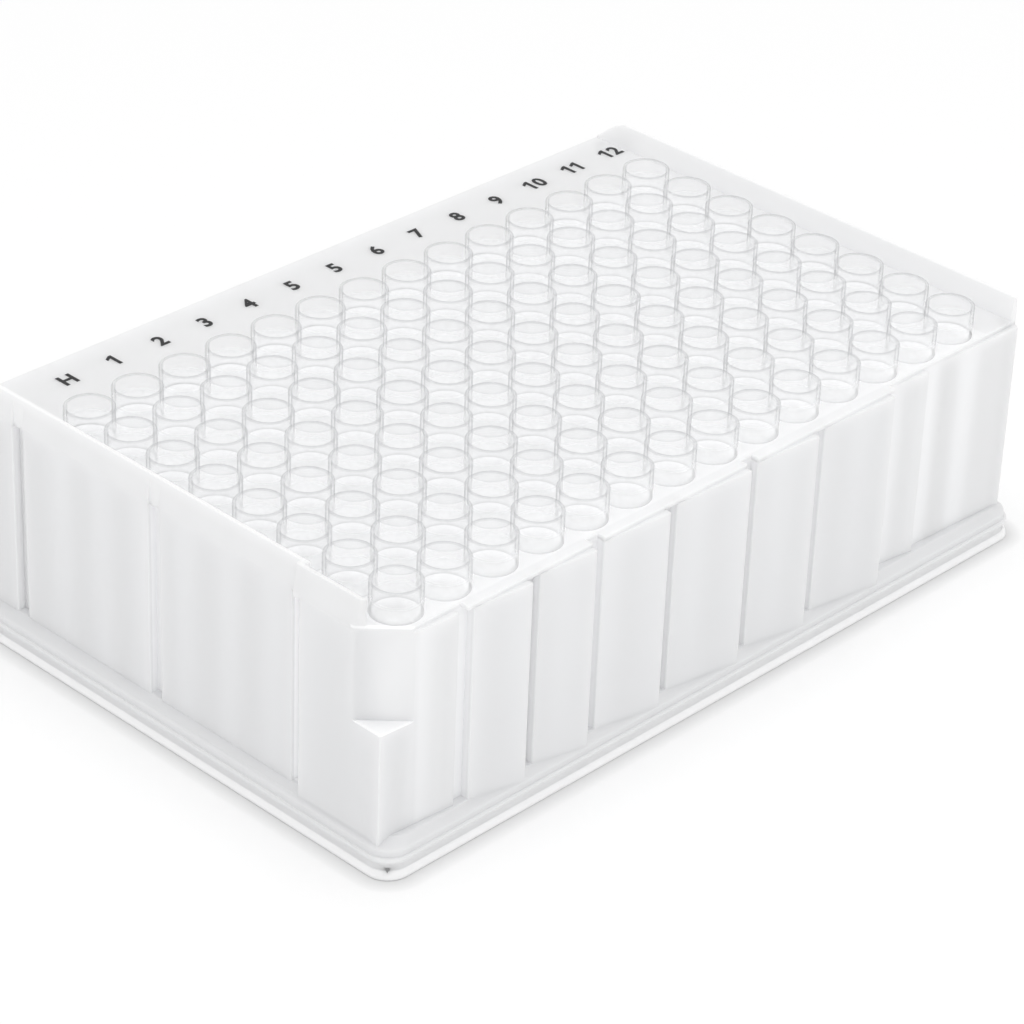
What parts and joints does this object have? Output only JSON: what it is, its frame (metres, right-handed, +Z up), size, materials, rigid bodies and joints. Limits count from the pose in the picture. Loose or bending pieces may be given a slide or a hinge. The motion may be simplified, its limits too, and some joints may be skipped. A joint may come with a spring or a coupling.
{
  "type": "deep well plate",
  "caption": "Moulded deep well plate: rows of round wells with thin raised rims on a flat deck, panelled skirt, stepped foot and one notched corner.",
  "frame": {"origin": "centre of the footprint, on the surface that the foot rests on", "axes": "+X along the length, away from the notched corner; +Y across the width, towards the label strip; +Z up"},
  "size_m": [0.1278, 0.0854, 0.0396],
  "materials": {
    "natural_polypropylene": "milky, slightly translucent, smooth satin"
  },
  "bodies": {
    "root": {"plate": "natural_polypropylene"}
  },
  "joints": []
}
